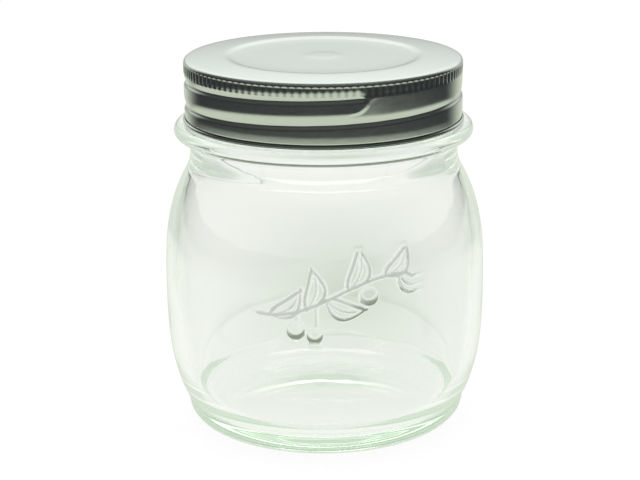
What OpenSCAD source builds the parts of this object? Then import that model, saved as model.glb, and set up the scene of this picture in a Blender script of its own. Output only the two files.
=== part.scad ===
// Jam pot: a blown glass jar with a screw neck, and a pressed tinplate lid with its sealing ring.
// Millimetres. +Z is up, the origin is on the table under the middle of the foot, and -Y is the front.

/* [Glass body] */
// Height from the table to the underside of the neck ring
body_h = 76.45; // [66:0.05:90]
// Widest diameter, across the belly
belly_d = 82.8; // [78:0.1:100]
// Height at which the belly is widest
belly_z = 37.3; // [33:0.1:42]
// Diameter of the foot band
foot_d = 72.6; // [66:0.1:76]
// Height of the foot band
foot_h = 8.2; // [7.8:0.1:10]
// How far the belly overhangs the foot band
foot_step = 0.8; // [0.4:0.1:1.2]
// Radius of the heel, under the foot band
heel_r = 5; // [4:0.1:5.4]
// Outside diameter of the ring that the jar stands on
bearing_d = 56.4; // [54:0.1:60]
// Width of the ring that the jar stands on
bearing_w = 1.6; // [1.2:0.1:3]
// Height of the hollow under the base
push_up = 1.2; // [0.8:0.1:1.6]
// Thickness of the glass at the belly
wall = 2.9; // [2.2:0.1:3.6]
// Height of the glass floor above the table
floor_t = 4.6; // [4:0.1:6]

/* [Neck] */
// Outside diameter of the neck under the ring
neck_d = 68.6; // [67.6:0.1:70]
// Height of the straight neck under the ring
neck_h = 6.7; // [5:0.1:8]
// Inside diameter of the mouth
mouth_d = 60.8; // [56:0.1:62]
// Diameter of the neck ring
ring_d = 76.6; // [74:0.1:82]
// Height of the neck ring
ring_h = 3.6; // [3.2:0.1:4.6]
// Height of the threaded neck above the ring
finish_h = 15.3; // [14.5:0.05:18]
// Diameter at the bottom of the glass thread
root_d = 66.8; // [66:0.1:67.2]
// How far the glass thread stands out
thread_out = 1.35; // [1.2:0.05:1.5]
// Rise of the thread in one turn
pitch = 6; // [5.6:0.1:6.4]

/* [Lid] */
// Thickness of the tinplate
sheet_t = 0.25; // [0.2:0.01:0.3]
// Depth of the rolled thread groove
groove_depth = 0.75; // [0.65:0.05:0.95]
// Height of the knurled band
knurl_h = 2.8; // [2.4:0.1:3.4]
// How far the knurled band is pressed in between its ridges
knurl_in = 0.25; // [0.15:0.01:0.3]
// Number of knurls
knurl_count = 120; // [90:1:150]
// Diameter of the rolled bottom edge
curl_d = 0.95; // [0.85:0.01:1.2]
// Radius of the lid's top corner
corner_r = 0.8; // [0.6:0.05:1]
// Diameter of the sunk middle panel
panel_d = 48.6; // [44:0.2:54]
// Depth of the sunk middle panel
panel_depth = 0.35; // [0.25:0.05:0.6]
// Diameter of the raised button in the middle
button_d = 12; // [9:0.5:14]
// Height of the raised button
button_h = 0.15; // [0.1:0.05:0.25]

/* [Sealing ring] */
// Thickness of the sealing ring
liner_t = 0.9; // [0.7:0.05:1.1]
// Width of the sealing ring
liner_w = 5.4; // [4.6:0.1:6]

/* [Hidden] */

// Clearances
thread_gap = 0.2;      // from the glass thread's crest to the narrowest part of the lid
liner_gap = 0.05;      // from the sealing ring's edge to where the lid's corner begins to bend
table_gap = 0.3;       // from the rolled edge to the neck ring
thread_side_gap = 0.45;// from the glass thread to the rolled thread, along the jar
knurl_gap = 0.05;      // from the knurls' ridges to the wall's outside
overrun = 0.4;         // how far a cutter runs past what it cuts

// Smoothness
arc_step = 9;          // degrees from point to point on a small arc
curve_steps = 26;      // points along each long curve of the glass
steps_a_turn = 72;     // sections along one turn of a thread

// Heights
rim_z = body_h + ring_h + finish_h;
crown_z = rim_z + liner_t + sheet_t;
edge_z = body_h + ring_h + table_gap;
neck_z = body_h - neck_h;

// Radii of the glass
belly_r = belly_d / 2;
foot_r = foot_d / 2;
bearing_r = bearing_d / 2;
waist_r = foot_r + foot_step;
neck_r = neck_d / 2;
mouth_r = mouth_d / 2;
root_r = root_d / 2;
crest_r = root_r + thread_out;

// Radii of the lid: it necks in to clear the glass thread above the rolled edge
neck_in_r = crest_r + thread_gap;
neck_in = 0.25;
wall_in_r = neck_in_r + neck_in;
wall_r = wall_in_r + sheet_t;
band_r = wall_r - knurl_in;
band_low_z = crown_z - corner_r - knurl_h;
knurl_r = wall_r - knurl_gap;
bead_r = wall_in_r - groove_depth;
curl_z = edge_z + curl_d / 2;
curl_r = neck_in_r + curl_d / 2;

// Shape of the glass
heel_slope = 17;       // degrees from the table to the cone between the bearing ring and the heel
foot_curve = 3;        // power of the lower belly curve
shoulder_curve = 3;    // power of the shoulder curve
cavity_curve = 9;      // power of the rounded bottom of the cavity
cavity_crowding = 3;   // how strongly the cavity's points crowd towards its floor
step_rise_share = 0.9; // of foot_step, the height over which the overhang is made
mouth_drop = 2.5;      // how far the inner shoulder ends above the outer one's end
rim_round = 0.8;       // radius of the rim's two edges
ring_nose_share = 0.5; // of ring_h, the radius of the ring's rounded nose

// Shape of the glass thread's section, as places from its middle line
crest_w = 0.9;
thread_base_w = 2.7;
thread_lead_in = 1.75; // from the rim to the middle of the thread's upper end
thread_end_gap = 6.5;  // from the neck ring to the middle of the thread's lower end
sink = 0.35;           // how deep a rib is rooted in what carries it
ramp = 9;              // degrees over which a thread rises at its ends

// Shape of the rolled groove's section, from its bed: a long upper flank and a short lower one
groove_top_w = 1.3;    // upper flank, at the wall's outside
groove_bed_top_w = 0.2;// upper flank, at the bed
groove_bed_low_w = 0.15; // lower flank, at the bed
groove_low_w = 0.6;    // lower flank, at the wall's outside
groove_start_drop = 3.6;  // from the crown to the bed of the groove's upper end
groove_start_angle = -72; // where its upper end lies, from +X
groove_end_gap = 3.4;    // from the rolled edge's underside to the bed of its lower end

// Arc of a circle as points, from angle a0 to angle a1
function arc(x, z, r, a0, a1) =
  let (n = max(2, ceil(abs(a1 - a0) / arc_step)))
  [for (i = [0 : n]) let (a = a0 + (a1 - a0) * i / n) [x + r * cos(a), z + r * sin(a)]];

// Radius of the glass's outside at height z, between the foot and the neck
function belly_at(z) =
  z < belly_z
  ? belly_r - (belly_r - waist_r) * pow((belly_z - z) / (belly_z - foot_h), foot_curve)
  : belly_r - (belly_r - neck_r) * pow((z - belly_z) / (neck_z - belly_z), shoulder_curve);

// Radius of the cavity at height z, between the floor and the belly: it keeps the wall's thickness
// from the outside and rounds into the floor
function cavity_at(z) =
  (belly_at(max(z, foot_h)) - wall)
  * pow(1 - pow((belly_z - z) / (belly_z - floor_t), cavity_curve), 1 / cavity_curve);

// Outside of the glass, from the bearing ring up to the rim
function glass_outside() =
  let (heel_x = foot_r - heel_r,
       heel_z = (heel_x + heel_r * sin(heel_slope) - bearing_r) * tan(heel_slope) + heel_r * cos(heel_slope),
       rise = foot_step * step_rise_share,
       low_z = foot_h + rise / 2,
       nose_r = ring_h * ring_nose_share,
       ring_z = body_h + ring_h / 2)
  concat(
    [[bearing_r, 0]],
    arc(heel_x, heel_z, heel_r, heel_slope - 90, 0),
    [[foot_r, foot_h - rise / 2]],
    [for (i = [0 : 2 * curve_steps]) let (z = low_z + (neck_z - low_z) * i / (2 * curve_steps))
      [belly_at(z), z]],
    [[neck_r, body_h]],
    arc(ring_d / 2 - nose_r, ring_z, nose_r, -90, 90),
    [[root_r, body_h + ring_h]],
    arc(root_r - rim_round, rim_z - rim_round, rim_round, 0, 90));

// Inside of the glass, from the rim down to the middle of the floor
function glass_inside() =
  let (cavity_r = belly_r - wall, inner_neck_z = neck_z + mouth_drop, deep = belly_z - floor_t)
  concat(
    arc(mouth_r + rim_round, rim_z - rim_round, rim_round, 90, 180),
    [for (i = [0 : curve_steps]) let (z = inner_neck_z + (belly_z - inner_neck_z) * i / curve_steps)
      [cavity_r - (cavity_r - mouth_r) * pow((z - belly_z) / (inner_neck_z - belly_z), shoulder_curve), z]],
    [for (i = [1 : curve_steps]) let (z = belly_z - deep * (1 - pow(1 - i / curve_steps, cavity_crowding)))
      [i < curve_steps ? cavity_at(z) : 0, z]]);

// Hollow under the base, from the middle out to the bearing ring
function glass_hollow() =
  let (r = bearing_r - bearing_w, dome = (r * r + push_up * push_up) / (2 * push_up), a = asin(r / dome))
  [for (i = [0 : curve_steps]) let (t = a * i / curve_steps) [dome * sin(t), push_up - dome * (1 - cos(t))]];

// A rib wound round Z. Each section is a list of [radius, height] places, inside first, and the
// rib falls by pitch in each turn clockwise from above. full and least are the places' radii at
// the middle of the rib and at its tips.
module wound_rib(full, least, top_z, top_angle, drop) {
  steps = ceil(steps_a_turn * drop / pitch);
  turn = 360 * drop / pitch;
  n = len(full);
  function rise(i) = min(1, min(i, steps - i) / steps * turn / ramp);
  points = [for (i = [0 : steps]) let (a = top_angle - turn * i / steps, s = rise(i))
    for (k = [0 : n - 1]) let (r = least[k] + (full[k][0] - least[k]) * s)
      [r * cos(a), r * sin(a), top_z - drop * i / steps + full[k][1]]];
  sides = [for (i = [0 : steps - 1]) for (k = [0 : n - 1]) let (m = (k + 1) % n, b = i * n, c = (i + 1) * n)
    each [[b + k, c + m, b + m], [b + k, c + k, c + m]]];
  ends = [for (k = [1 : n - 2]) each [[0, k, k + 1], [steps * n, steps * n + k + 1, steps * n + k]]];
  polyhedron(points, concat(sides, ends), convexity = 6);
}

// Where the glass thread lies beside the rolled groove: its crest is above the upper flank of the
// bead inside the lid, with the side gap between the glass and the tinplate.
bead_foot_r = wall_in_r + sheet_t / 2;
bead_tip_top = groove_bed_top_w + sheet_t / 2;
bead_at_crest = bead_tip_top
  + (groove_top_w + sheet_t - bead_tip_top) * (crest_r - bead_r) / (bead_foot_r - bead_r);
thread_above_groove = bead_at_crest + thread_side_gap + crest_w / 2;
glass_top_z = rim_z - thread_lead_in;
groove_top_z = crown_z - groove_start_drop;
glass_top_angle = groove_start_angle + 360 * (glass_top_z - thread_above_groove - groove_top_z) / pitch;

module glass_thread() {
  inner = root_r - sink;
  wound_rib(
    [[inner, -thread_base_w / 2], [crest_r, -crest_w / 2], [crest_r, crest_w / 2], [inner, thread_base_w / 2]],
    [inner, inner + sink / 2, inner + sink / 2, inner],
    glass_top_z, glass_top_angle, glass_top_z - body_h - ring_h - thread_end_gap);
}

module jar() {
  color([0.86, 0.93, 0.88, 0.45]) {
    rotate_extrude($fn = 180) polygon(concat(glass_hollow(), glass_outside(), glass_inside()));
    glass_thread();
  }
}

// Outside of the tinplate from the middle of the top to the end of the wall
function sheet_outside() =
  let (button_r = button_d / 2, panel_r = panel_d / 2, panel_z = crown_z - panel_depth)
  concat(
    [[0, panel_z + button_h], [button_r - 2 * button_h, panel_z + button_h], [button_r, panel_z],
     [panel_r - panel_depth, panel_z], [panel_r + panel_depth, crown_z]],
    arc(band_r - corner_r, crown_z - corner_r, corner_r, 90, 0),
    [[band_r, band_low_z], [wall_r, band_low_z - knurl_in],
     [wall_r, curl_z + curl_d + neck_in], [neck_in_r + sheet_t, curl_z + curl_d]]);

// Inside of the tinplate from the wall's end back to the middle of the top
function sheet_inside() =
  let (button_r = button_d / 2, panel_r = panel_d / 2, panel_z = crown_z - panel_depth - sheet_t,
       bend_r = corner_r - sheet_t, step_z = band_low_z - sheet_t * step_back_share)
  concat(
    [[neck_in_r, curl_z + curl_d], [wall_in_r, curl_z + curl_d + neck_in],
     [wall_in_r, step_z - knurl_in], [band_r - sheet_t, step_z]],
    arc(band_r - corner_r, crown_z - corner_r, bend_r, 0, 90),
    [[panel_r + panel_depth, crown_z - sheet_t], [panel_r - panel_depth, panel_z], [button_r, panel_z],
     [button_r - 2 * button_h, panel_z + button_h], [0, panel_z + button_h]]);

// The rolled edge: the sheet turns outwards and up, and its end stops short of the wall
curl_turn = 270;       // degrees of the roll
knurl_ridge_share = 0.28; // of the angle from knurl to knurl, the width of a ridge's top
knurl_foot_share = 0.8;   // of that angle, the width of a ridge's foot
knurl_root_share = 0.75;  // of the sheet, how deep the knurls are rooted
step_back_share = 0.41;   // of the sheet, how much lower the step under the knurls is inside
function curl_outside() = arc(curl_r, curl_z, curl_d / 2, 180, 180 + curl_turn);
function curl_inside() = arc(curl_r, curl_z, curl_d / 2 - sheet_t, 180 + curl_turn, 180);

// The sheet's section is drawn in one run: outside of the top and wall, hollow of the roll,
// back of the roll, then the inside of the wall and top.
module sheet_section() {
  roll_back = [for (i = [len(curl_inside()) - 1 : -1 : 0]) curl_inside()[i]];
  roll_front = [for (i = [len(curl_outside()) - 1 : -1 : 0]) curl_outside()[i]];
  polygon(concat(sheet_outside(), roll_back, roll_front, sheet_inside()));
}

// The knurls are one band: a star with a blunt ridge at each step, rooted in the pressed-in band
// and running down into the wall below it
module knurls() {
  step = 360 / knurl_count;
  valley_r = band_r - sheet_t / 2;
  ridge = step * knurl_ridge_share / 2;
  foot = step * knurl_foot_share / 2;
  tall = knurl_h + knurl_in + knurl_gap;
  star = [for (i = [0 : knurl_count - 1], k = [[valley_r, -foot], [knurl_r, -ridge], [knurl_r, ridge], [valley_r, foot]])
    [k[0] * cos(i * step + k[1]), k[0] * sin(i * step + k[1])]];
  translate([0, 0, crown_z - corner_r - tall])
    linear_extrude(tall)
      difference() {
        polygon(star);
        circle(band_r - sheet_t * knurl_root_share, $fn = 360);
      }
}

groove_drop = groove_top_z - curl_z + curl_d / 2 - groove_end_gap;

module thread_bead() {
  wound_rib(
    [[bead_foot_r, groove_top_w + sheet_t], [bead_r, bead_tip_top],
     [bead_r, -groove_bed_low_w - sheet_t / 2], [bead_foot_r, -groove_low_w - sheet_t]],
    [bead_foot_r, bead_foot_r - sheet_t / 4, bead_foot_r - sheet_t / 4, bead_foot_r],
    groove_top_z, groove_start_angle, groove_drop);
}

// A flank's height at the cutter's outer side, from its heights at the bed and at the wall
function flank_out(bed_w, wall_w) = bed_w + (wall_w - bed_w) * (groove_depth + overrun) / groove_depth;

module thread_groove() {
  outer = wall_r + overrun;
  bed_r = wall_r - groove_depth;
  wound_rib(
    [[outer, flank_out(groove_bed_top_w, groove_top_w)], [bed_r, groove_bed_top_w],
     [bed_r, -groove_bed_low_w], [outer, -flank_out(groove_bed_low_w, groove_low_w)]],
    [outer, outer - overrun / 2, outer - overrun / 2, outer],
    groove_top_z, groove_start_angle, groove_drop);
}

module lid() {
  color("silver") {
    difference() {
      union() {
        rotate_extrude($fn = 180) sheet_section();
        thread_bead();
        knurls();
      }
      thread_groove();
    }
  }
}

module liner() {
  outer = band_r - corner_r - liner_gap;
  color("whitesmoke")
    translate([0, 0, rim_z])
      difference() {
        cylinder(h = liner_t, r = outer, $fn = 180);
        translate([0, 0, -overrun]) cylinder(h = liner_t + 2 * overrun, r = outer - liner_w, $fn = 180);
      }
}

jar();
lid();
liner();
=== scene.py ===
import math

import bpy
from bpy.props import FloatProperty, IntProperty, PointerProperty, StringProperty
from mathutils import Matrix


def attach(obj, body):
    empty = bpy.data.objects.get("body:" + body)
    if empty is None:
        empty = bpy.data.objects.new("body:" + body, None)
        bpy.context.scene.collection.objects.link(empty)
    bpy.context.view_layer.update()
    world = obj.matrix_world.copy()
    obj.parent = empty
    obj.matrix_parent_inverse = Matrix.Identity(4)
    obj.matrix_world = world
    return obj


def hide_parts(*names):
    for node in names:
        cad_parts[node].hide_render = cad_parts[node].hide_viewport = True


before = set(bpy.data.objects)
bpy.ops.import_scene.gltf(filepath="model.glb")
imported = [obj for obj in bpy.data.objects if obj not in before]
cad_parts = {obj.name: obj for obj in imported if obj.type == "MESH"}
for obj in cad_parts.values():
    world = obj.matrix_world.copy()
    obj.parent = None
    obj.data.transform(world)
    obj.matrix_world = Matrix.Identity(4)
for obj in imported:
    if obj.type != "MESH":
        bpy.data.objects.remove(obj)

bl_info = {
    "name": "Jam Pot",
    "version": (1, 0, 0),
    "blender": (4, 5, 0),
    "location": "View3D > Sidebar > Jam Pot",
    "description": "A clear glass jam pot with a knurled tinplate screw lid",
    "category": "Object",
}

MM = 0.001
TURN = 2 * math.pi
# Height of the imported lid's top above the table.
LID_TOP = 96.5 * MM
# Points that are closer than this are one point.
SAME_PLACE = 0.004 * MM


# Sizes and colours

def length(name, text, size_mm):
    """A property that holds a size, whose default is given in millimetres."""
    return FloatProperty(name=name, description=text, default=size_mm * MM, min=0, unit="LENGTH",
                         precision=5)


def colour(name, text, code):
    """A property that holds a colour as its sRGB hex code."""
    return StringProperty(name=name, description=text, default=code)


class GlassSizes(bpy.types.PropertyGroup):
    """Sizes of the glass pot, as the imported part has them"""

    body_h: length("Body height", "From the table to the underside of the neck ring", 76.45)
    belly_d: length("Belly", "Widest diameter", 82.8)
    belly_z: length("Belly height", "Height at which the belly is widest", 37.3)
    foot_d: length("Foot band", "Diameter of the foot band", 72.6)
    foot_h: length("Foot height", "Height of the foot band", 8.2)
    foot_step: length("Overhang", "How far the belly overhangs the foot band", 0.8)
    heel_r: length("Heel", "Radius under the foot band", 5.0)
    bearing_d: length("Bearing ring", "Diameter of the ring that the pot stands on", 56.4)
    bearing_w: length("Bearing width", "Width of the ring that the pot stands on", 1.6)
    push_up: length("Push-up", "Height of the hollow under the base", 1.2)
    wall: length("Wall", "Thickness of the glass at the belly", 2.9)
    floor_t: length("Floor", "Height of the glass floor above the table", 4.6)
    neck_d: length("Neck", "Diameter of the neck under the ring", 68.6)
    neck_h: length("Neck height", "Height of the straight neck under the ring", 6.7)
    mouth_d: length("Mouth", "Inside diameter of the mouth", 60.8)
    ring_d: length("Ring", "Diameter of the neck ring", 76.6)
    ring_h: length("Ring height", "Height of the neck ring", 3.6)
    finish_h: length("Threaded neck", "Height of the threaded neck above the ring", 15.3)
    root_d: length("Thread root", "Diameter at the bottom of the glass thread", 66.8)
    thread_out: length("Thread", "How far the glass thread stands out", 1.35)
    relief: length("Relief", "How far the leaf sprig stands out of the belly", 0.85)


class LidSizes(bpy.types.PropertyGroup):
    """Sizes of the pressed lid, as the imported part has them"""

    sheet_t: length("Sheet", "Thickness of the tinplate", 0.25)
    wall_d: length("Wall", "Diameter of the wall between the grooves", 70.9)
    necked_d: length("Necked wall", "Diameter of the wall just above the rolled edge", 70.4)
    height: length("Height", "Height of the lid", 16.15)
    pitch: length("Pitch", "Rise of the thread in one turn", 6.0)
    groove_depth: length("Groove", "Depth of the rolled thread groove", 0.75)
    knurl_h: length("Knurl height", "Height of the knurled band", 2.8)
    knurl_in: length("Knurls", "How far the band is pressed in between the knurls' ridges", 0.25)
    knurls: IntProperty(name="Knurl count", description="Number of knurls round the lid",
                        default=120, min=60)
    curl_d: length("Curl", "Diameter of the rolled bottom edge", 0.95)
    corner_r: length("Corner", "Radius of the top corner", 1.0)
    panel_d: length("Panel", "Diameter of the sunk middle panel", 48.6)
    panel_depth: length("Panel depth", "Depth of the sunk middle panel", 0.35)
    crest: length("Crest", "How far the top's outer ring is drawn above the packed lid's top", 0.3)
    crown: length("Crown", "How far the top's outer ring falls from its crest to the corner", 0.5)
    button_d: length("Button", "Diameter of the raised button", 12.0)
    button_h: length("Button height", "Height of the raised button", 0.1)
    liner_t: length("Sealing ring", "Thickness of the sealing ring", 0.9)
    liner_w: length("Sealing ring width", "Width of the sealing ring", 5.4)


class Finishes(bpy.types.PropertyGroup):
    """Colours, as sRGB hex codes"""

    glass: colour("Glass", "Tint of the glass in its depth", "#DCEBDD")
    # Painted shade: a dark green tint on the steep sides of the raised sprig's lines.
    sprig_line: colour("Sprig lines", "Tint of the raised lines' steep sides", "#586350")
    # Painted glow: the colour that the glass gives off late in a ray's path.
    painted_glow: colour("Caught light", "Colour of the light that is caught in the glass", "#D9E0D6")
    tinplate: colour("Tinplate", "Colour of the bare tinplate", "#DCE5DC")
    lacquer: colour("Inner lacquer", "Colour of the lacquer inside the lid", "#EDEEE8")
    # Painted shade: the darkening between the knurls and under the rolled edge.
    painted_gap_shade: colour("Knurl gaps", "Colour of the dull lacquer between the knurls", "#62655F")
    compound: colour("Sealing compound", "Colour of the sealing ring", "#D9D6CC")
    ground: colour("Table", "Colour of the white table", "#FAFAFA")
    glass_ground: colour("Table in the glass", "Colour that the glass shows of the table", "#F9FBF6")
    # Painted shade on the table behind the pot and beside it, which only the glass sees.
    green_shade: colour("Green light", "Colour that the glass shows behind the pot and beside it", "#CDD8C8")
    side_shade: colour("Side cards", "Colour that the glass shows of the dark cards", "#3C463C")
    dim: colour("Dim room", "Colour that the glass shows of the upper room", "#CCD8C9")
    # Painted shade on the table at the sides, which only the glass sees.
    shaded_ground: colour("Table in the metal", "Colour that the metal shows of the lit table", "#DBDED1")
    dark: colour("Dark room", "Colour that the metal shows beyond the lit table", "#35363A")


# Small helpers

def to_linear(code):
    """sRGB hex code to a linear colour with alpha."""
    channels = [int(code[i:i + 2], 16) / 255 for i in (1, 3, 5)]
    return tuple(c / 12.92 if c <= 0.04045 else ((c + 0.055) / 1.055) ** 2.4 for c in channels) + (1.0,)


def add_node(tree, kind, links=None, **settings):
    """Adds one shader node. Settings go to its properties or inputs, and links join sockets to its inputs."""
    node = tree.nodes.new(kind)
    sockets = {socket.name.lower().replace(" ", "_"): socket for socket in reversed(node.inputs)}
    for key, value in settings.items():
        if key in sockets:
            sockets[key].default_value = value
        else:
            setattr(node, key, value)
    for name, source in (links or {}).items():
        tree.links.new(source, node.inputs[name])
    return node


def new_material(name):
    """An empty node material and its output node."""
    material = bpy.data.materials.new(name)
    material.use_nodes = True
    tree = material.node_tree
    tree.nodes.clear()
    return material, tree, tree.nodes.new("ShaderNodeOutputMaterial")


def deselect_all():
    """Leaves edit mode and clears the selection."""
    if bpy.context.mode != "OBJECT":
        bpy.ops.object.mode_set(mode="OBJECT")
    bpy.ops.object.select_all(action="DESELECT")


def arc(x, z, r, a0, a1, step=6):
    """Points of a circle's arc, from angle a0 to a1 in degrees."""
    n = max(2, math.ceil(abs(a1 - a0) / step))
    angles = [math.radians(a0 + (a1 - a0) * i / n) for i in range(n + 1)]
    return [(x + r * math.cos(a), z + r * math.sin(a)) for a in angles]


def ramp(t):
    """Smooth step from 0 to 1."""
    t = min(1, max(0, t))
    return t * t * (3 - 2 * t)


def bend(start, corner, end, steps):
    """Points of a smooth curve that rounds a corner, without its start."""
    points = []
    for i in range(1, steps + 1):
        t = i / steps
        first, middle, last = (1 - t) ** 2, 2 * t * (1 - t), t * t
        points.append(tuple(first * a + middle * b + last * c for a, b, c in zip(start, corner, end)))
    return points


def draw_profile(name, points, angle):
    """Draws an open profile as a chain of edges, extruded from one vertex in the upright plane at angle."""
    deselect_all()
    bpy.ops.mesh.primitive_plane_add(size=MM, location=(0, 0, 0))
    piece = bpy.context.object
    piece.name = name
    piece.data.name = name
    across = (math.cos(angle), math.sin(angle))
    bpy.ops.object.mode_set(mode="EDIT")
    bpy.ops.mesh.select_all(action="SELECT")
    bpy.ops.mesh.merge(type="CENTER")
    x, z = points[0]
    bpy.ops.transform.translate(value=(x * across[0], x * across[1], z))
    for (x0, z0), (x1, z1) in zip(points, points[1:]):
        step = ((x1 - x0) * across[0], (x1 - x0) * across[1], z1 - z0)
        bpy.ops.mesh.extrude_region_move(TRANSFORM_OT_translate={"value": step})
    bpy.ops.mesh.select_all(action="SELECT")
    return piece


def spin_part(angle, steps):
    """Spins the selected chain about Z, counter-clockwise from above for a positive angle."""
    bpy.ops.mesh.spin(steps=steps, angle=-angle, center=(0, 0, 0), axis=(0, 0, 1), use_auto_merge=False)


def join_seam():
    """Joins the seam of a spun piece, turns its faces outwards and leaves edit mode."""
    bpy.ops.mesh.select_all(action="SELECT")
    bpy.ops.mesh.remove_doubles(threshold=SAME_PLACE)
    bpy.ops.mesh.normals_make_consistent(inside=False)
    bpy.ops.object.mode_set(mode="OBJECT")


def shade_smooth(piece, sharp_from):
    """Shades a piece smooth, except at edges that turn by more than sharp_from degrees."""
    piece.select_set(True)
    bpy.ops.object.shade_smooth_by_angle(angle=math.radians(sharp_from))
    piece.select_set(False)


def hand_over(piece, material, body, node):
    """Gives a finished piece its material and its body, and hides the CAD part that it stands for."""
    piece.data.materials.clear()
    piece.data.materials.append(material)
    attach(piece, body)
    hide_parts(node)


# Shapes in formulas

# The rolled groove: where its first turn starts and over what arc it deepens, how far its lower edge is below
# the lid's top there, and how far above the lid's bottom it runs out.
GROOVE_START, GROOVE_RUN_IN = math.radians(-70.9), math.radians(3.7)
GROOVE_EDGE, GROOVE_RUN_OUT = 5.05 * MM, 2.6 * MM
# Its section, in millimetres above its lower edge: where the lower flank ends, and from where to where the
# upper flank runs.
LOWER_FLANK, UPPER_FLANK = 1.15, (0.6, 3.9)


def groove_section(above):
    """Depth, 0 to 1, of the groove at a height above its lower edge. Its two flanks meet in a rounded bed."""
    lower = ramp(above / LOWER_FLANK)
    low, high = UPPER_FLANK
    upper = (1 - (above - low) / (high - low)) ** 1.9 if above < high else 0.0
    if lower <= 0.01 or upper <= 0.001:
        return 0.0
    return 1.12 / (lower ** -5 + upper ** -5) ** 0.2


# Beside the groove's rounded end the wall leans in. In millimetres: how far the end's tip is below the top,
# how wide and high its round is, how far the edge climbs away from it, and how far down the lean ends.
TIP_DOWN, TIP_W, TIP_H, EDGE_CLIMB, LEAN_END = 4.0, 4.7, 4.0, 2.1, 9.4
# The lean's slope at the tip, and what it loses by 7 mm and by 52 mm to the right.
LEAN, LEAN_LOST_NEAR, LEAN_LOST_FAR = 0.055, 0.012, 0.043


def lean_in_at(lid, angle, down):
    """How far the wall leans in to the right of the groove's start, most of all beside its rounded end."""
    # In millimetres: the way to the right, the thread's rise on it, and how far the place is below the tip
    # and below the edge.
    right = (angle - GROOVE_START) * lid.wall_d / 2 / MM
    lift = right / (math.pi * lid.wall_d / MM) * lid.pitch / MM
    below_tip = down / MM - TIP_DOWN
    below_edge = below_tip + EDGE_CLIMB * ramp(right / 5)
    if right <= -6 or not 0 < below_edge < 8:
        return 0.0
    round_end = TIP_W * (1 - math.sqrt(1 - min(1, max(0, below_tip / TIP_H)) ** 2))
    slope = LEAN - LEAN_LOST_NEAR * ramp((right - 0.3) / 6.5) - LEAN_LOST_FAR * ramp((right - 38) / 14)
    fade = ramp((right + round_end) / 0.6) * (1 - ramp(down / MM + lift - LEAN_END))
    return slope * MM * below_edge * ramp(below_edge / 1.2) * fade


def groove_at(lid, angle, down):
    """Depth of the rolled groove at an angle and a distance below the lid's top, with the wall's lean."""
    depth = 0.0
    lowest_edge = lid.height - GROOVE_RUN_OUT
    for turn in range(-1, 3):
        behind = GROOVE_START - angle + turn * TURN
        edge = GROOVE_EDGE + behind / TURN * lid.pitch
        if behind >= 0 and down < edge <= lowest_edge:
            there = ramp(behind / GROOVE_RUN_IN) * ramp((lowest_edge - edge) / (0.15 * MM))
            depth = max(depth, lid.groove_depth * there * groove_section((edge - down) / MM))
    return (depth ** 3 + lean_in_at(lid, angle, down) ** 3) ** (1 / 3)


# Where the knurled band starts below the lid's top, and over what heights it deepens and ends.
KNURLS_FROM, KNURLS_DEEPEN, KNURLS_END = 0.95 * MM, 0.35 * MM, 0.5 * MM


def knurl_gap_at(lid, angle, down):
    """How much of a gap between two knurls there is at a place, 0 on the ridges to 1 in mid-gap."""
    lowest = KNURLS_FROM + lid.knurl_h + 0.1 * MM
    band = ramp((down - KNURLS_FROM) / KNURLS_DEEPEN) * ramp((lowest - down) / KNURLS_END)
    return band * (0.5 - 0.5 * math.cos(angle * lid.knurls)) ** 0.8


# The glass thread: where it starts, how far that is below the rim, how far above the neck ring it ends, half
# the width of its crest, the width of its flanks, and how its ends overrun and fade.
THREAD_START = math.radians(-128.7)
THREAD_UNDER_RIM, THREAD_OVER_RING = 1.75 * MM, 6.5 * MM
THREAD_CREST, THREAD_FLANK = 0.3 * MM, 0.95 * MM
THREAD_OVERRUN, THREAD_FADE = 0.5 * MM, 0.6 * MM


def glass_thread_at(glass, pitch, angle, z):
    """How far the falling glass thread stands out at a place on the neck."""
    ring_top = glass.body_h + glass.ring_h
    top_z = ring_top + glass.finish_h - THREAD_UNDER_RIM
    drop = top_z - (ring_top + THREAD_OVER_RING)
    nearest, there = math.inf, 0.0
    for turn in range(-1, 4):
        down = ((THREAD_START - angle) / TURN + turn) * pitch
        begun, left = down + THREAD_OVERRUN, drop + THREAD_OVERRUN - down
        fade = ramp(begun / THREAD_FADE) * ramp(left / THREAD_FADE)
        away = abs(z - (top_z - down))
        if fade > 0 and away < nearest:
            nearest, there = away, fade
    flank = max(0.0, 1 - max(0.0, nearest - THREAD_CREST) / THREAD_FLANK)
    return glass.thread_out * there * ramp(flank)


# The sprig's middle from the front and above the table, and half its length and height.
SPRIG_U, SPRIG_Z = 3.0 * MM, 45.5 * MM
SPRIG_HALF_L, SPRIG_HALF_H = 20 * MM, 11 * MM
# Leaves in millimetres and degrees: place on the stem, turn from it, length and width.
LEAVES = [(-15, 38, 9.5, 4.2), (-6, 62, 9.5, 4.4), (-1.5, -42, 9.5, 4.4),
          (4, 52, 10, 4.6), (13, 42, 9, 4.2), (16.5, -22, 8.5, 4)]
# Berries in millimetres: place along the stem, place above it and radius.
BERRIES = [(-9.0, -4.8, 2.4), (-4.4, -7.6, 2.1), (8.8, -3.8, 2.5)]
# Half the widths of a leaf's outline, its midrib, the stem and a berry's stalk.
EDGE_HALF_W, RIB_HALF_W, STEM_HALF_W, STALK_HALF_W = 0.5 * MM, 0.4 * MM, 0.55 * MM, 0.4 * MM


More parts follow.
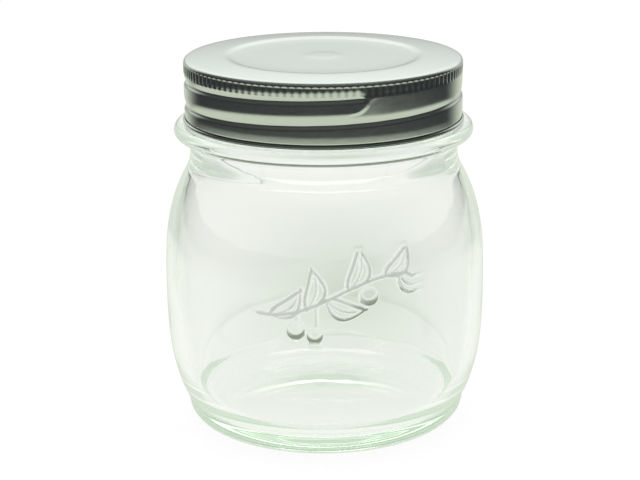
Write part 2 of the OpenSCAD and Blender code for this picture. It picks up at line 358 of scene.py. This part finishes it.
def leaf(u, v, root_u, root_v, heading, size, width):
    """Height, 0 to 1, at the place u, v of a pointed leaf: a raised outline and midrib on a low swell."""
    du, dv = u - root_u, v - root_v
    along = (du * math.cos(heading) + dv * math.sin(heading)) / size
    if not -0.08 < along < 1.08:
        return 0.0
    across = -du * math.sin(heading) + dv * math.cos(heading) + 0.16 * size * math.sin(math.pi * along)
    inside = min(1.0, max(0.0, along))
    half = width / 2 * math.sin(math.pi * inside ** 0.8) ** 0.8
    edge = abs(abs(across) - half) / EDGE_HALF_W
    rib = abs(across) / RIB_HALF_W
    height = 0.25 if abs(across) < half else 0.0
    if edge < 1:
        height = max(height, math.sqrt(1 - edge ** 4))
    if rib < 1 and 0.05 < along < 0.8:
        height = max(height, 0.8 * math.sqrt(1 - rib ** 4))
    return height


def berry(u, v, middle_u, middle_v, radius):
    """Height, 0 to 1, of one berry: a dome with a fuller rim on its lower side."""
    du, dv = u - middle_u, v - middle_v
    away = math.hypot(du, dv) / radius
    if away >= 1:
        return 0.0
    dome = 0.45 * math.sqrt(1 - away ** 4)
    crescent = math.hypot(du, dv - 0.55 * radius) / radius
    return max(dome, ramp((crescent - 0.75) / 0.2) * ramp((1 - away) / 0.12))


def stem_at(u):
    """Height of the stem above the sprig's middle: a wave 3.2 mm high that climbs a little to the right."""
    return (3.2 * math.sin(u / MM / 8.5) + 0.1 * u / MM) * MM


def sprig_at(u, z):
    """Height, 0 to 1, of the leaf sprig at the arc length u from the front and the height z."""
    u, v = u - SPRIG_U, z - SPRIG_Z
    best = 0.0
    gap = abs(v - stem_at(u)) / STEM_HALF_W
    if abs(u) < SPRIG_HALF_L and gap < 1:
        best = math.sqrt(1 - gap ** 4) * ramp((SPRIG_HALF_L - abs(u)) / (2 * MM))
    for along, turned, size, width in LEAVES:
        root_u = along * MM
        root_v = stem_at(root_u)
        heading = math.atan2(stem_at(root_u + MM) - root_v, MM) + math.radians(turned)
        best = max(best, leaf(u, v, root_u, root_v, heading, size * MM, width * MM))
    for along, above, radius in BERRIES:
        middle_u = along * MM
        best = max(best, berry(u, v, middle_u, stem_at(middle_u) + above * MM, radius * MM))
        # The berry's stalk, a little to the right of its middle.
        stalk_low = stem_at(u) + (above + radius) * MM
        if abs(u - middle_u - 0.3 * MM) < STALK_HALF_W and stalk_low < v < stem_at(u):
            best = max(best, 0.7)
    return best


# Profiles

def glass_profile(glass):
    """Places on the glass, from the middle of its underside over the rim to the middle of its floor."""
    foot_r, belly_r, neck_r = glass.foot_d / 2, glass.belly_d / 2, glass.neck_d / 2
    bearing_r, mouth_r, root_r = glass.bearing_d / 2, glass.mouth_d / 2, glass.root_d / 2
    neck_z = glass.body_h - glass.neck_h
    ring_top = glass.body_h + glass.ring_h
    rim_z = ring_top + glass.finish_h
    waist_r = foot_r + glass.foot_step

    hollow_r = bearing_r - glass.bearing_w
    points = [(hollow_r * i / 20, glass.push_up * (1 - (i / 20) ** 2) ** 2) for i in range(20)]
    eased = 0.2 * MM
    points += [(hollow_r + eased, 0.0), (bearing_r - eased, 0.0), (bearing_r + 0.25 * MM, 0.06 * MM)]

    # A slope of 17 degrees leads from the bearing ring to the rounded heel.
    slope = math.radians(17)
    heel_x = foot_r - glass.heel_r
    slope_w = heel_x + glass.heel_r * math.sin(slope) - bearing_r
    heel_z = slope_w * math.tan(slope) + glass.heel_r * math.cos(slope)
    points += arc(heel_x, heel_z, glass.heel_r, math.degrees(slope) - 90, 0)
    step_low, step_h = glass.foot_h - 0.36 * MM, 0.72 * MM
    points += [(foot_r + glass.foot_step * ramp(i / 6), step_low + step_h * i / 6) for i in range(7)]

    def belly(z):
        """Radius of the belly at a height."""
        if z < glass.belly_z:
            below = (glass.belly_z - z) / (glass.belly_z - glass.foot_h)
            return belly_r - (belly_r - waist_r) * below ** 3
        above = min(1, (z - glass.belly_z) / (neck_z - glass.belly_z))
        return belly_r - (belly_r - neck_r) * above ** 3

    # Rows 0.26 mm apart where the sprig stands, and wider apart elsewhere.
    bend_low, bend_high = 2.5 * MM, 3.0 * MM
    shoulder_z = neck_z - bend_low
    stops = [step_low + step_h, SPRIG_Z - SPRIG_HALF_H, SPRIG_Z + SPRIG_HALF_H, shoulder_z]
    for z0, z1, rows in zip(stops, stops[1:], (22, 84, 8)):
        points += [(belly(z), z) for z in (z0 + (z1 - z0) * i / rows for i in range(1, rows + 1))]
    points += bend((belly(shoulder_z), shoulder_z), (neck_r, neck_z), (neck_r, neck_z + bend_high), 8)
    fillet, lip_r = 0.9 * MM, 0.8 * MM
    points += [(neck_r, glass.body_h - fillet)]
    points += arc(neck_r + fillet, glass.body_h - fillet, fillet, 180, 90, 15)[1:]
    nose = glass.ring_h / 2
    points += arc(glass.ring_d / 2 - nose, glass.body_h + nose, nose, -90, 90, 9)
    points += arc(root_r + fillet, ring_top + fillet, fillet, 270, 180, 15)
    thread_low, thread_high = ring_top + fillet, rim_z - lip_r
    points += [(root_r, thread_low + (thread_high - thread_low) * i / 40) for i in range(1, 40)]
    points += arc(root_r - lip_r, thread_high, lip_r, 0, 90, 10)
    points += arc(mouth_r + lip_r, thread_high, lip_r, 90, 180, 10)

    cavity_r = belly_r - glass.wall
    inner_neck = neck_z + bend_low

    def cavity(z):
        """Radius of the inside at a height above the belly's widest place."""
        above = (z - glass.belly_z) / (inner_neck - glass.belly_z)
        return cavity_r - (cavity_r - mouth_r) * above ** 3

    inner_low, inner_high = inner_neck - bend_low, inner_neck + bend_high
    points += bend((mouth_r, inner_high), (mouth_r, inner_neck), (cavity(inner_low), inner_low), 8)
    heights = [inner_low + (glass.belly_z - inner_low) * i / 24 for i in range(1, 25)]
    points += [(cavity(z), z) for z in heights]
    # Below, the inside follows the outside and rounds off to the floor.
    deep = glass.belly_z - glass.floor_t
    for i in range(1, 40):
        share = 1 - (1 - i / 40) ** 3
        z = glass.belly_z - deep * share
        rounding = (1 - share ** 9) ** (1 / 9)
        points.append(((belly(max(z, glass.foot_h)) - glass.wall) * rounding, z))
    floor_r = points[-1][0]
    points += [(floor_r * (1 - i / 8), glass.floor_t) for i in range(1, 9)]
    return points


def lid_profile(lid):
    """Outer side of the sheet, from the middle of the top over the wall and round the rolled edge."""
    wall_r, necked_r = lid.wall_d / 2, lid.necked_d / 2
    panel_r, button_r = lid.panel_d / 2, lid.button_d / 2
    edge_r = wall_r - lid.corner_r
    crest_z = LID_TOP + lid.crest
    panel_z = crest_z - lid.panel_depth

    def ring_z(r):
        """Height of the top's outer ring at a radius."""
        return crest_z - lid.crown * max(0.0, (r - panel_r) / (edge_r - panel_r)) ** 1.4

    # The button, the flat panel, its sloping edge and the outer ring.
    slope_from, slope_to = panel_r - 1.6 * MM, panel_r + 1.2 * MM
    flat_r = slope_from - 0.2 * MM
    points = [(0, panel_z + lid.button_h)]
    for i in range(6):
        points.append((button_r * (0.4 + 0.6 * i / 5), panel_z + lid.button_h * (1 - ramp(i / 5))))
    points += [(button_r + (flat_r - button_r) * i / 3, panel_z) for i in range(1, 3)]
    for i in range(7):
        r = slope_from + (slope_to - slope_from) * i / 6
        points.append((r, panel_z + (ring_z(r) - panel_z) * ramp(i / 6)))
    for i in range(1, 6):
        r = slope_to + (edge_r - slope_to) * i / 6
        points.append((r, ring_z(r)))
    high = crest_z - lid.crown - lid.corner_r
    points += arc(edge_r, high, lid.corner_r, 85, 0, 15)

    # The wall leans in a little from 2.1 mm above the rolled edge, and has stepped in just above it.
    bottom = LID_TOP - lid.height
    low = bottom + lid.curl_d
    rows = 56
    for i in range(1, rows + 1):
        z = high + (low - high) * i / rows
        leaning = 0.38 * max(0.0, (low + 2.1 * MM - z) / (1.9 * MM)) ** 1.3
        share = min(1.0, leaning) if z > low + 0.2 * MM else 1.0
        points.append((wall_r + (necked_r - wall_r) * share, z))
    curl_r = lid.curl_d / 2
    return points + arc(necked_r - lid.sheet_t + curl_r, bottom + curl_r, curl_r - lid.sheet_t, 180, 450, 27)


# Materials

def glass_material(finishes):
    # Soda-lime container glass, moulded: clear, with iron's faint green where light goes through much of it.
    material, tree, out = new_material("moulded soda-lime glass")
    place = add_node(tree, "ShaderNodeTexCoord")
    # Broad, faint ripples of the mould's skin, about 9 mm apart.
    ripples = add_node(tree, "ShaderNodeTexNoise", {"Vector": place.outputs["Object"]},
                       scale=110.0, detail=1.5)
    bump = add_node(tree, "ShaderNodeBump", {"Height": ripples.outputs["Fac"]},
                    strength=0.35, distance=0.0002)
    # The steep sides of the raised sprig turn the light away, so its lines look dark green. This shade is
    # painted into the glass's colour, as a dark green tint on the lines.
    line_shade = add_node(tree, "ShaderNodeAttribute", attribute_name="sprig_line")
    tone = add_node(tree, "ShaderNodeMixRGB", {"Fac": line_shade.outputs["Fac"]},
                    color1=(1, 1, 1, 1), color2=to_linear(finishes.sprig_line))
    # Painted glow: where a ray has been reflected three times or more inside the wall, the glass gives off a
    # pale green glow of its own.
    path = add_node(tree, "ShaderNodeLightPath")
    glow = add_node(tree, "ShaderNodeMapRange", {"Value": path.outputs["Glossy Depth"]},
                    from_min=2.0, from_max=3.0, to_max=0.39)
    surface = add_node(tree, "ShaderNodeBsdfPrincipled",
                       {"Base Color": tone.outputs["Color"], "Normal": bump.outputs["Normal"],
                        "Emission Strength": glow.outputs["Result"]},
                       roughness=0.0, ior=1.52, transmission_weight=1.0,
                       emission_color=to_linear(finishes.painted_glow))
    depth = add_node(tree, "ShaderNodeVolumeAbsorption", color=to_linear(finishes.glass), density=15.0)
    tree.links.new(surface.outputs["BSDF"], out.inputs["Surface"])
    tree.links.new(depth.outputs["Volume"], out.inputs["Volume"])
    return material


def orange_peel(tree, place):
    """Bump node with the fine unevenness of sprayed or rolled lacquer, about 2 mm from crest to crest."""
    peel = add_node(tree, "ShaderNodeTexNoise", {"Vector": place.outputs["Object"]},
                    scale=480.0, detail=2.0)
    return add_node(tree, "ShaderNodeBump", {"Height": peel.outputs["Fac"]},
                    strength=0.25, distance=0.00004)


def tinplate_material(finishes):
    # Tinplate, lacquered, pressed and rolled: a soft gloss with the faint grain of the rolled strip.
    material, tree, out = new_material("lacquered tinplate")
    place = add_node(tree, "ShaderNodeTexCoord")
    stretch = add_node(tree, "ShaderNodeMapping", {"Vector": place.outputs["Object"]})
    stretch.inputs["Scale"].default_value = (1, 14, 14)
    # Rolling grain, 0.6 mm across the strip.
    grain = add_node(tree, "ShaderNodeTexNoise", {"Vector": stretch.outputs["Vector"]},
                     scale=120.0, detail=3.0)
    gloss = add_node(tree, "ShaderNodeMapRange", {"Value": grain.outputs["Fac"]}, to_min=0.13, to_max=0.2)
    bump = orange_peel(tree, place)
    # Painted shade: the colour darkens between the knurls and under the rolled edge, as the lid's point
    # attribute gives it.
    gap = add_node(tree, "ShaderNodeAttribute", attribute_name="knurl_gap")
    deep = add_node(tree, "ShaderNodeMath", {0: gap.outputs["Fac"]}, operation="POWER")
    deep.inputs[1].default_value = 2.0
    tone = add_node(tree, "ShaderNodeMixRGB", {"Fac": deep.outputs["Value"]},
                    color1=to_linear(finishes.tinplate), color2=to_linear(finishes.painted_gap_shade))
    # The varnish on the flat top scatters some light. The rolling tools have polished the wall.
    height = add_node(tree, "ShaderNodeSeparateXYZ", {"Vector": place.outputs["Object"]})
    satin = add_node(tree, "ShaderNodeMapRange", {"Value": height.outputs["Z"]},
                     interpolation_type="SMOOTHSTEP", from_min=LID_TOP - 0.7 * MM,
                     from_max=LID_TOP - 0.2 * MM, to_min=1.0, to_max=0.85)
    surface = add_node(tree, "ShaderNodeBsdfPrincipled",
                       {"Base Color": tone.outputs["Color"], "Roughness": gloss.outputs["Result"],
                        "Normal": bump.outputs["Normal"], "Metallic": satin.outputs["Result"]})
    tree.links.new(surface.outputs["BSDF"], out.inputs["Surface"])
    return material


def lacquer_material(finishes):
    # White inner lacquer, sprayed on the flat sheet and baked: smooth, with a soft gloss.
    material, tree, out = new_material("baked white lacquer")
    place = add_node(tree, "ShaderNodeTexCoord")
    bump = orange_peel(tree, place)
    surface = add_node(tree, "ShaderNodeBsdfPrincipled", {"Normal": bump.outputs["Normal"]},
                       base_color=to_linear(finishes.lacquer), roughness=0.3)
    tree.links.new(surface.outputs["BSDF"], out.inputs["Surface"])
    return material


def compound_material(finishes):
    # Plastisol sealing compound, flowed in and baked: soft, off-white and nearly matt.
    material, tree, out = new_material("plastisol sealing compound")
    place = add_node(tree, "ShaderNodeTexCoord")
    # Mottle of the flowed compound, about 1.4 mm.
    mottle = add_node(tree, "ShaderNodeTexNoise", {"Vector": place.outputs["Object"]},
                      scale=700.0, detail=3.0)
    bump = add_node(tree, "ShaderNodeBump", {"Height": mottle.outputs["Fac"]},
                    strength=0.3, distance=0.00006)
    surface = add_node(tree, "ShaderNodeBsdfPrincipled", {"Normal": bump.outputs["Normal"]},
                       base_color=to_linear(finishes.compound), roughness=0.5)
    tree.links.new(surface.outputs["BSDF"], out.inputs["Surface"])
    return material


def table_material(finishes):
    # Matt white table. The camera sees it white, with a trace of the pot's shadow. The glass and the metal
    # see painted shade on it: the glass the pot's green shadow and dark bands at the sides, the metal the
    # unlit room beyond the lit table.
    material, tree, out = new_material("matt white table")
    place = add_node(tree, "ShaderNodeTexCoord")
    path = add_node(tree, "ShaderNodeLightPath")
    matt = add_node(tree, "ShaderNodeBsdfDiffuse", color=to_linear(finishes.ground))
    white = add_node(tree, "ShaderNodeEmission", color=(1, 1, 1, 1))
    shown = add_node(tree, "ShaderNodeMixShader",
                     {1: matt.outputs["BSDF"], 2: white.outputs["Emission"]}, fac=0.95)
    direct = add_node(tree, "ShaderNodeMixShader", {"Fac": path.outputs["Is Camera Ray"],
                                                    1: matt.outputs["BSDF"], 2: shown.outputs["Shader"]})
    seen = add_node(tree, "ShaderNodeMixShader", {"Fac": path.outputs["Is Transmission Ray"],
                                                  1: direct.outputs["Shader"],
                                                  2: table_in_glass(tree, place, finishes)})
    # A refracted ray counts as glossy too, so it is taken out here.
    metal = add_node(tree, "ShaderNodeMath",
                     {0: path.outputs["Is Glossy Ray"], 1: path.outputs["Is Transmission Ray"]},
                     operation="SUBTRACT", use_clamp=True)
    both = add_node(tree, "ShaderNodeMixShader", {"Fac": metal.outputs["Value"], 1: seen.outputs["Shader"],
                                                  2: table_in_metal(tree, place, finishes)})
    tree.links.new(both.outputs["Shader"], out.inputs["Surface"])
    return material


def table_in_glass(tree, place, finishes):
    """Shader of what the glass shows of the table: nearly white, with painted green shade and two painted
    dark bands.
    """
    # Painted shadow: the darker green that the pot throws close behind itself.
    behind = add_node(tree, "ShaderNodeMapping", {"Vector": place.outputs["Object"]},
                      vector_type="TEXTURE", location=(0.005, 0.1, 0), scale=(0.085, 0.14, 1))
    shadow_spot = add_node(tree, "ShaderNodeTexGradient", {"Vector": behind.outputs["Vector"]},
                    gradient_type="QUADRATIC_SPHERE")
    # The same painted green shade from 0.1 m off to the sides, which the glass shows along its edges.
    sides = add_node(tree, "ShaderNodeSeparateXYZ", {"Vector": place.outputs["Object"]})
    aside = add_node(tree, "ShaderNodeMath", {0: sides.outputs["X"]}, operation="ABSOLUTE")
    edge = add_node(tree, "ShaderNodeMapRange", {"Value": aside.outputs["Value"]},
                    from_min=0.1, from_max=0.2)
    greened = add_node(tree, "ShaderNodeMath", {0: shadow_spot.outputs["Fac"], 1: edge.outputs["Result"]},
                       operation="MAXIMUM")
    plain = add_node(tree, "ShaderNodeEmission", color=to_linear(finishes.glass_ground))
    green = add_node(tree, "ShaderNodeEmission", color=to_linear(finishes.green_shade))
    table = add_node(tree, "ShaderNodeMixShader", {"Fac": greened.outputs["Value"],
                                                   1: plain.outputs["Emission"],
                                                   2: green.outputs["Emission"]})
    # Painted shade, from 0.3 m off to the sides, draws the dark lines inside the shoulders.
    side_band = add_node(tree, "ShaderNodeMapRange", {"Value": aside.outputs["Value"]},
                    from_min=0.26, from_max=0.34)
    dark = add_node(tree, "ShaderNodeEmission", color=to_linear(finishes.side_shade))
    banded = add_node(tree, "ShaderNodeMixShader", {"Fac": side_band.outputs["Result"],
                                                    1: table.outputs["Shader"], 2: dark.outputs["Emission"]})
    return banded.outputs["Shader"]


def table_in_metal(tree, place, finishes):
    """Shader of what the metal shows of the table: lit to 0.2 m from the pot, and far out at the back."""
    spread = add_node(tree, "ShaderNodeVectorMath", {0: place.outputs["Object"]}, operation="LENGTH")
    near = add_node(tree, "ShaderNodeMapRange", {"Value": spread.outputs["Value"]},
                    interpolation_type="SMOOTHSTEP", from_min=0.34, from_max=0.20)
    # Fully lit within 18 degrees of straight back, and unlit from 63 degrees.
    toward = add_node(tree, "ShaderNodeVectorMath", {0: place.outputs["Object"]}, operation="NORMALIZE")
    parts = add_node(tree, "ShaderNodeSeparateXYZ", {"Vector": toward.outputs["Vector"]})
    back = add_node(tree, "ShaderNodeMapRange", {"Value": parts.outputs["Y"]},
                    interpolation_type="SMOOTHSTEP", from_min=0.45, from_max=0.95)
    lit = add_node(tree, "ShaderNodeMath", {0: near.outputs["Result"], 1: back.outputs["Result"]},
                   operation="MAXIMUM")
    dark = add_node(tree, "ShaderNodeEmission", color=to_linear(finishes.dark))
    pale = add_node(tree, "ShaderNodeEmission", color=to_linear(finishes.shaded_ground))
    mixed = add_node(tree, "ShaderNodeMixShader", {"Fac": lit.outputs["Value"],
                                                   1: dark.outputs["Emission"], 2: pale.outputs["Emission"]})
    return mixed.outputs["Shader"]


def world_sky(world, finishes):
    """The room round the table: white to the camera, dimmer above in the glass, lit behind in the metal."""
    world.use_nodes = True
    tree = world.node_tree
    tree.nodes.clear()
    out = tree.nodes.new("ShaderNodeOutputWorld")
    place = add_node(tree, "ShaderNodeTexCoord")
    parts = add_node(tree, "ShaderNodeSeparateXYZ", {"Vector": place.outputs["Generated"]})
    path = add_node(tree, "ShaderNodeLightPath")
    white = add_node(tree, "ShaderNodeBackground", color=(1, 1, 1, 1))

    low = add_node(tree, "ShaderNodeBackground", color=to_linear(finishes.glass_ground))
    high = add_node(tree, "ShaderNodeBackground", color=to_linear(finishes.dim))
    above = add_node(tree, "ShaderNodeMapRange", {"Value": parts.outputs["Z"]},
                     interpolation_type="SMOOTHSTEP", from_min=0.05, from_max=0.3)
    in_glass = add_node(tree, "ShaderNodeMixShader", {"Fac": above.outputs["Result"],
                                                      1: low.outputs["Background"],
                                                      2: high.outputs["Background"]})

    # The lit back wall gets much brighter upwards, and the unlit front only a little.
    lit = add_node(tree, "ShaderNodeMapRange", {"Value": parts.outputs["Z"]},
                   from_min=0.0, from_max=0.36, to_min=0.33, to_max=1.08)
    unlit = add_node(tree, "ShaderNodeMapRange", {"Value": parts.outputs["Z"]},
                     from_min=0.2, from_max=0.9, to_min=0.035, to_max=0.07)
    back_wall = add_node(tree, "ShaderNodeBackground", {"Strength": lit.outputs["Result"]},
                         color=(1, 1, 1, 1))
    front = add_node(tree, "ShaderNodeBackground", {"Strength": unlit.outputs["Result"]},
                     color=(1, 1, 1, 1))
    back = add_node(tree, "ShaderNodeMapRange", {"Value": parts.outputs["Y"]},
                    interpolation_type="SMOOTHSTEP", from_min=0.45, from_max=0.93)
    in_metal = add_node(tree, "ShaderNodeMixShader", {"Fac": back.outputs["Result"],
                                                      1: front.outputs["Background"],
                                                      2: back_wall.outputs["Background"]})
    glossy = add_node(tree, "ShaderNodeMixShader", {"Fac": path.outputs["Is Glossy Ray"],
                                                    1: white.outputs["Background"],
                                                    2: in_metal.outputs["Shader"]})
    both = add_node(tree, "ShaderNodeMixShader", {"Fac": path.outputs["Is Transmission Ray"],
                                                  1: glossy.outputs["Shader"],
                                                  2: in_glass.outputs["Shader"]})
    tree.links.new(both.outputs["Shader"], out.inputs["Surface"])


# Operators

class JAMPOT_OT_glass(bpy.types.Operator):
    """Moulded glass pot: spun profile, then the thread and the leaf sprig raised on it"""

    bl_idname = "jampot.glass"
    bl_label = "Glass pot"

    def execute(self, context):
        glass = context.scene.jampot_glass
        # The front 64 degrees have columns 0.24 mm apart for the relief, and the rest has wider ones. The
        # relief keeps to half the arc on each side of the front, with a little to spare for its last column.
        relief_arc = math.radians(64)
        relief_half = 0.51 * relief_arc
        piece = draw_profile("jar_glass", glass_profile(glass), math.radians(-122))
        spin_part(relief_arc, 190)
        spin_part(TURN - relief_arc, 100)
        join_seam()
        shade_smooth(piece, 50)

        pitch = context.scene.jampot_lid.pitch
        belly_r = glass.belly_d / 2
        ring_top = glass.body_h + glass.ring_h
        thread_from, thread_to = ring_top + 1 * MM, ring_top + glass.finish_h - 0.7 * MM
        outside_belly, outside_neck = belly_r - glass.wall + 0.2 * MM, glass.root_d / 2 - 0.1 * MM
        # Painted shade on the sprig's lines, 0 to 1, kept on each point.
        sprig_shade = piece.data.attributes.new("sprig_line", "FLOAT", "POINT")
        for vertex in piece.data.vertices:
            x, y, z = vertex.co
            r = math.hypot(x, y)
            angle = math.atan2(y, x)
            front = angle + math.pi / 2
            rise = 0.0
            if abs(z - SPRIG_Z) < SPRIG_HALF_H and r > outside_belly and abs(front) < relief_half:
                along = front * belly_r
                height = sprig_at(along, z)
                rise = glass.relief * height
                # The painted shade of the lines is darkest low down, under the berries.
                below = (stem_at(along - SPRIG_U) - (z - SPRIG_Z)) / MM
                shade_weight = 0.55 + 0.45 * ramp((below - 3) / 3)
                sprig_shade.data[vertex.index].value = shade_weight * ramp((height - 0.5) / 0.5)
            elif thread_from < z < thread_to and r > outside_neck:
                rise = glass_thread_at(glass, pitch, angle, z)
            vertex.co.x += rise * math.cos(angle)
            vertex.co.y += rise * math.sin(angle)
        hand_over(piece, glass_material(context.scene.jampot_finishes), "jar_body", "jar")
        return {"FINISHED"}


class JAMPOT_OT_lid(bpy.types.Operator):
    """Screw lid: spun sheet with knurls and a rolled thread, thickened and edged with a curl"""

    bl_idname = "jampot.lid"
    bl_label = "Lid"

    def execute(self, context):
        lid = context.scene.jampot_lid
        piece = draw_profile("lid_sheet", lid_profile(lid), 0.0)
        # Four columns to each knurl.
        spin_part(TURN, 4 * lid.knurls)
        join_seam()

        # Painted shade, lighter in the gaps between the knurls and full under the rolled edge.
        knurl_shade, curl_shade = 0.65, 1.0
        shade_paint = piece.data.attributes.new("knurl_gap", "FLOAT", "POINT")
        top_r = lid.wall_d / 2 - lid.corner_r
        curl_top = LID_TOP - lid.height + lid.curl_d
        for vertex in piece.data.vertices:
            x, y, z = vertex.co
            if math.hypot(x, y) < top_r or z < curl_top - 0.01 * MM:
                continue
            angle = math.atan2(y, x)
            down = LID_TOP - z
            gap = knurl_gap_at(lid, angle, down)
            shade_paint.data[vertex.index].value = knurl_shade * gap
            move = math.hypot(lid.knurl_in * gap, groove_at(lid, angle, down))
            vertex.co.x -= move * math.cos(angle)
            vertex.co.y -= move * math.sin(angle)

        finishes = context.scene.jampot_finishes
        hand_over(piece, tinplate_material(finishes), "lid_body", "lid")
        piece.data.materials.append(lacquer_material(finishes))
        context.view_layer.objects.active = piece
        thick = piece.modifiers.new("sheet", "SOLIDIFY")
        thick.thickness = lid.sheet_t
        thick.offset = -1
        thick.material_offset = 1
        bpy.ops.object.modifier_apply(modifier=thick.name)
        # The rolled edge shows the outer finish all round, with painted shadow underneath.
        for face in piece.data.polygons:
            if face.center.z < curl_top:
                face.material_index = 0
        shade_paint = piece.data.attributes["knurl_gap"]
        shade_below = curl_top - 0.6 * lid.curl_d
        for vertex in piece.data.vertices:
            if vertex.co.z < shade_below:
                shade_paint.data[vertex.index].value = curl_shade
        shade_smooth(piece, 60)
        return {"FINISHED"}


class JAMPOT_OT_sealing_ring(bpy.types.Operator):
    """Sealing ring: a flat ring of compound with rounded edges"""

    bl_idname = "jampot.sealing_ring"
    bl_label = "Sealing ring"

    def execute(self, context):
        lid = context.scene.jampot_lid
        # The ring ends inside the knurls and the corner, with 0.05 mm to spare.
        outer = lid.wall_d / 2 - lid.knurl_in - lid.corner_r - 0.05 * MM
        inner = outer - lid.liner_w
        top = LID_TOP - lid.sheet_t
        low = top - lid.liner_t
        soft, crisp = 0.3 * MM, 0.15 * MM
        points = arc(inner + soft, low + soft, soft, 270, 180, 15)
        points += arc(inner + crisp, top - crisp, crisp, 180, 90, 30)
        points += arc(outer - crisp, top - crisp, crisp, 90, 0, 30)
        points += arc(outer - soft, low + soft, soft, 0, -90, 15)
        points += [((inner + outer) / 2, low), points[0]]
        piece = draw_profile("sealing_ring", points, 0.0)
        spin_part(TURN, 180)
        join_seam()
        shade_smooth(piece, 50)
        compound = compound_material(context.scene.jampot_finishes)
        hand_over(piece, compound, "lift_body", "liner")
        return {"FINISHED"}


class JAMPOT_OT_stage(bpy.types.Operator):
    """White table, soft lamp, the room round them and the camera"""

    bl_idname = "jampot.stage"
    bl_label = "Studio"

    def execute(self, context):
        scene = context.scene
        finishes = scene.jampot_finishes
        deselect_all()
        bpy.ops.mesh.primitive_circle_add(vertices=96, radius=3.0, fill_type="NGON", location=(0, 0, 0))
        table = context.object
        table.name = "studio_table"
        table.data.materials.append(table_material(finishes))

        # The lamp hangs over the pot, a little behind it, and leans back as little. No piece mirrors it.
        softbox = bpy.data.lights.new("overhead_softbox", "AREA")
        softbox.shape = "SQUARE"
        softbox.size = 0.9
        softbox.energy = 9.0
        lamp = bpy.data.objects.new("overhead_softbox", softbox)
        scene.collection.objects.link(lamp)
        lamp.location = (0, 0.05, 1.1)
        lamp.rotation_euler = (math.radians(2.7263), 0, 0)
        lamp.visible_glossy = False

        scene.world = bpy.data.worlds.new("white studio")
        world_sky(scene.world, finishes)

        lens = bpy.data.cameras.new("photograph")
        lens.lens = 101.25
        lens.sensor_width = 36.0
        # The photograph is cut from the left part of a wider one, so its verticals lean a little.
        lens.shift_x = -0.0876
        camera = bpy.data.objects.new("photograph", lens)
        scene.collection.objects.link(camera)
        # Fitted to the ellipses of the lid and the foot in the photograph.
        camera.location = (0.01337, -0.4507, 0.18248)
        camera.rotation_euler = (math.radians(90 - 16.668), 0, 0)
        scene.camera = camera
        scene.view_settings.view_transform = "Standard"
        return {"FINISHED"}


class JAMPOT_PT_panel(bpy.types.Panel):
    """Sizes, colours and steps of the jam pot"""

    bl_idname = "JAMPOT_PT_panel"
    bl_label = "Jam Pot"
    bl_space_type = "VIEW_3D"
    bl_region_type = "UI"
    bl_category = "Jam Pot"

    def draw(self, context):
        scene = context.scene
        for group in (scene.jampot_glass, scene.jampot_lid, scene.jampot_finishes):
            box = self.layout.box()
            for name in group.bl_rna.properties.keys():
                if name not in ("rna_type", "name"):
                    box.prop(group, name)
        for step in STEPS:
            self.layout.operator(step.bl_idname)


STEPS = (JAMPOT_OT_glass, JAMPOT_OT_lid, JAMPOT_OT_sealing_ring, JAMPOT_OT_stage)
CLASSES = (GlassSizes, LidSizes, Finishes) + STEPS + (JAMPOT_PT_panel,)


def register():
    """Registers the classes and hangs their sizes and colours on the scene."""
    for cls in CLASSES:
        bpy.utils.register_class(cls)
    bpy.types.Scene.jampot_glass = PointerProperty(type=GlassSizes)
    bpy.types.Scene.jampot_lid = PointerProperty(type=LidSizes)
    bpy.types.Scene.jampot_finishes = PointerProperty(type=Finishes)


def unregister():
    """Takes back what register did."""
    del bpy.types.Scene.jampot_glass
    del bpy.types.Scene.jampot_lid
    del bpy.types.Scene.jampot_finishes
    for cls in reversed(CLASSES):
        bpy.utils.unregister_class(cls)


def main():
    """Builds the three pieces and the studio."""
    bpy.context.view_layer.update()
    register()
    bpy.ops.jampot.glass()
    bpy.ops.jampot.lid()
    bpy.ops.jampot.sealing_ring()
    bpy.ops.jampot.stage()


if __name__ == "__main__":
    main()
